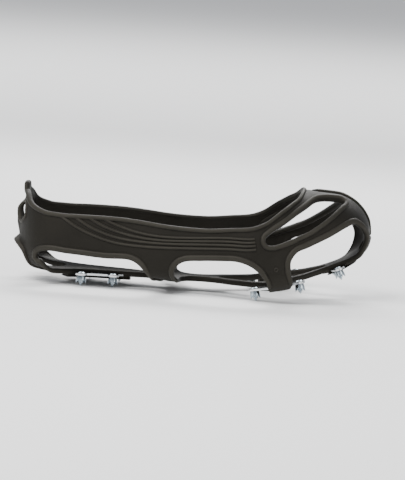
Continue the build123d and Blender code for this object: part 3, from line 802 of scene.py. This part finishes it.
def rubber_material():
    """Matt dark rubber with a warm sheen, lighter where its per-point attribute is high: rubbed on the pads,
    and rubbed with a painted highlight on the crests of the beads.
    """
    mat, nodes, links, shader = material("rubber", (0.009, 0.0083, 0.0068), 0.0, 0.5)
    shader.inputs["Specular IOR Level"].default_value = 0.22
    shader.inputs["Specular Tint"].default_value = (1.0, 0.93, 0.80, 1)
    cloud = noise(nodes, links, 38, 5)
    worn_and_highlit = nodes.new("ShaderNodeAttribute")
    worn_and_highlit.attribute_name = "wear_and_highlight"
    matt = ramp(nodes, links, cloud, (0.32, (0.0033, 0.0031, 0.0025)), (0.72, (0.0063, 0.0058, 0.0048)))
    # the lighter colour: rubbed rubber on the pads, and on the beads' crests partly rubbing and partly a
    # painted highlight
    rubbed_and_highlit = ramp(nodes, links, cloud, (0.3, (0.0146, 0.0137, 0.0112)), (0.75, (0.0242, 0.0226, 0.0186)))
    links.new(mixed(nodes, links, "MIX", worn_and_highlit.outputs["Fac"], matt, rubbed_and_highlit), shader.inputs["Base Color"])
    links.new(ramp(nodes, links, cloud, (0.3, grey(0.50)), (0.7, grey(0.66))), shader.inputs["Roughness"])
    grain, wave = noise(nodes, links, 2600, 3), noise(nodes, links, 130, 3)
    bump(nodes, links, ((wave, 0.0009, 0.28), (grain, 0.00012, 0.45)), shader)
    return mat


def steel_material(name, base, roughness, scale, shade=None, light=None, dark=None):
    """Bright steel with a cloudy finish.

    Over the socket that shade(nodes, links) gives, a painted shade darkens it from light to dark, each (source,
    share left).
    """
    mat, nodes, links, shader = material(name, base, 1.0, roughness)
    cloud = noise(nodes, links, scale, 4)
    finish = ramp(nodes, links, cloud, (0.3, grey(roughness - 0.1)), (0.75, grey(roughness + 0.14)))
    links.new(finish, shader.inputs["Roughness"])
    tone = ramp(nodes, links, cloud, (0.3, tuple(0.82 * c for c in base)), (0.7, base))
    if shade:
        # painted shade, multiplied into the steel's colour over the shade socket
        painted_shade = ramp(nodes, links, shade(nodes, links), (light[0], grey(light[1])), (dark[0], grey(dark[1])))
        tone = mixed(nodes, links, "MULTIPLY", None, tone, painted_shade)
    links.new(tone, shader.inputs["Base Color"])
    bump(nodes, links, ((noise(nodes, links, 1900, 2), 0.00006, 0.35),), shader)
    return mat


def height_share(nodes, links):
    """0 at the foot of a piece's own box and 1 at its top."""
    where = nodes.new("ShaderNodeTexCoord")
    split = nodes.new("ShaderNodeSeparateXYZ")
    links.new(where.outputs["Generated"], split.inputs["Vector"])
    return split.outputs["Z"]


def flatness(nodes, links):
    """1 on faces that look straight up or down and 0 on upright edges."""
    where = nodes.new("ShaderNodeTexCoord")
    split = nodes.new("ShaderNodeSeparateXYZ")
    size = nodes.new("ShaderNodeMath")
    size.operation = "ABSOLUTE"
    links.new(where.outputs["Normal"], split.inputs["Vector"])
    links.new(split.outputs["Z"], size.inputs[0])
    return size.outputs["Value"]


RUBBER = rubber_material()
# painted reflection on the plates: faces that look up or down are darkened to about a quarter, as if they
# mirrored the dark boot; upright edges keep the bright steel
PLATE = steel_material("plate_steel", (0.72, 0.74, 0.75), 0.2, 260, flatness, (0.55, 1.0), (0.85, 0.26))
# painted shade on the crowns: darker towards the top of each crown, near the plate, as shade and dark
# reflection
CROWN = steel_material("crown_steel", (0.60, 0.69, 0.75), 0.2, 420, height_share, (0.45, 1.0), (0.9, 0.3))
PIN = steel_material("pin_steel", (0.55, 0.63, 0.68), 0.22, 500)


def paint_for(node):
    for word, steel in (("stud_crown", CROWN), ("stud_pin", PIN), ("plate", PLATE)):
        if word in node:
            return steel
    return RUBBER


harness.data.materials.append(RUBBER)
for node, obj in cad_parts.items():
    paint = paint_for(node)
    if obj.material_slots:
        for material_slot in obj.material_slots:
            material_slot.link = "OBJECT"
            material_slot.material = paint
    else:
        obj.data.materials.append(paint)

# ---- floor, light and camera -----------------------------------------------------------------------------
floor_mesh = bpy.data.meshes.new("floor")
FLOOR_HALF = 60
corners = [(FLOOR_HALF * x, FLOOR_HALF * y, 0) for x, y in ((-1, -1), (1, -1), (1, 1), (-1, 1))]
floor_mesh.from_pydata(corners, [], [(0, 1, 2, 3)])
floor = bpy.data.objects.new("floor", floor_mesh)
bpy.context.scene.collection.objects.link(floor)
pale, nodes, links, shader = material("floor", (0.93, 0.93, 0.92), 0.0, 0.75)
bump(nodes, links, ((noise(nodes, links, 60, 4), 0.0006, 0.15),), shader)
floor.data.materials.append(pale)

world = bpy.data.worlds.new("studio")
bpy.context.scene.world = world
world.use_nodes = True
sky = world.node_tree.nodes["Background"].inputs
sky["Color"].default_value = (0.93, 0.95, 1.0, 1)
sky["Strength"].default_value = 0.6


def area_light(name, at, towards, size, power, color=(1, 1, 1)):
    """A rectangular light; power is in watts."""
    data = bpy.data.lights.new(name, "AREA")
    data.shape = "RECTANGLE"
    data.size, data.size_y = size
    data.energy = power
    data.color = color
    obj = bpy.data.objects.new(name, data)
    bpy.context.scene.collection.objects.link(obj)
    obj.location = at
    obj.rotation_mode = "QUATERNION"
    obj.rotation_quaternion = (Vector(towards) - Vector(at)).to_track_quat("-Z", "Y")


area_light("key", (-0.7, -0.8, 1.25), (0, 0, 0.03), (0.9, 0.7), 33)
area_light("fill", (0.95, -0.75, 0.55), (0, 0, 0.03), (0.7, 0.7), 5, (1.0, 0.98, 0.95))
area_light("back", (0.1, 1.1, 0.9), (0, 0, 0.04), (1.0, 0.5), 14)
area_light("far floor", (0, 3.4, 3.0), (0, 4.2, 0), (5.0, 3.0), 210)

# the camera looks slightly down and is rolled, and one known point of the ground falls on a known pixel
ELEVATION, ROLL = math.radians(6.3), math.radians(3.9)
METRES_PER_PIXEL, WIDTH, HEIGHT = 0.0008333, 405, 480
KNOWN_POINT, KNOWN_PIXEL = Vector((-0.0649, 0.0, 0.0)), (113.0, 284.95)
camera_data = bpy.data.cameras.new("camera")
camera_data.lens, camera_data.sensor_width = 200, 36
camera = bpy.data.objects.new("camera", camera_data)
bpy.context.scene.collection.objects.link(camera)
level_right, level_up = Vector((1, 0, 0)), Vector((0, math.sin(ELEVATION), math.cos(ELEVATION)))
right = level_right * math.cos(ROLL) + level_up * math.sin(ROLL)
up = -level_right * math.sin(ROLL) + level_up * math.cos(ROLL)
back = right.cross(up)
distance = HEIGHT * METRES_PER_PIXEL / camera_data.sensor_width * camera_data.lens
middle = (KNOWN_POINT + right * (WIDTH / 2 - KNOWN_PIXEL[0]) * METRES_PER_PIXEL
          - up * (HEIGHT / 2 - KNOWN_PIXEL[1]) * METRES_PER_PIXEL)
camera.rotation_mode = "QUATERNION"
camera.rotation_quaternion = Matrix((right, up, back)).transposed().to_quaternion()
camera.location = middle + back * distance
camera_data.clip_start, camera_data.clip_end = 0.05, 50
bpy.context.scene.camera = camera
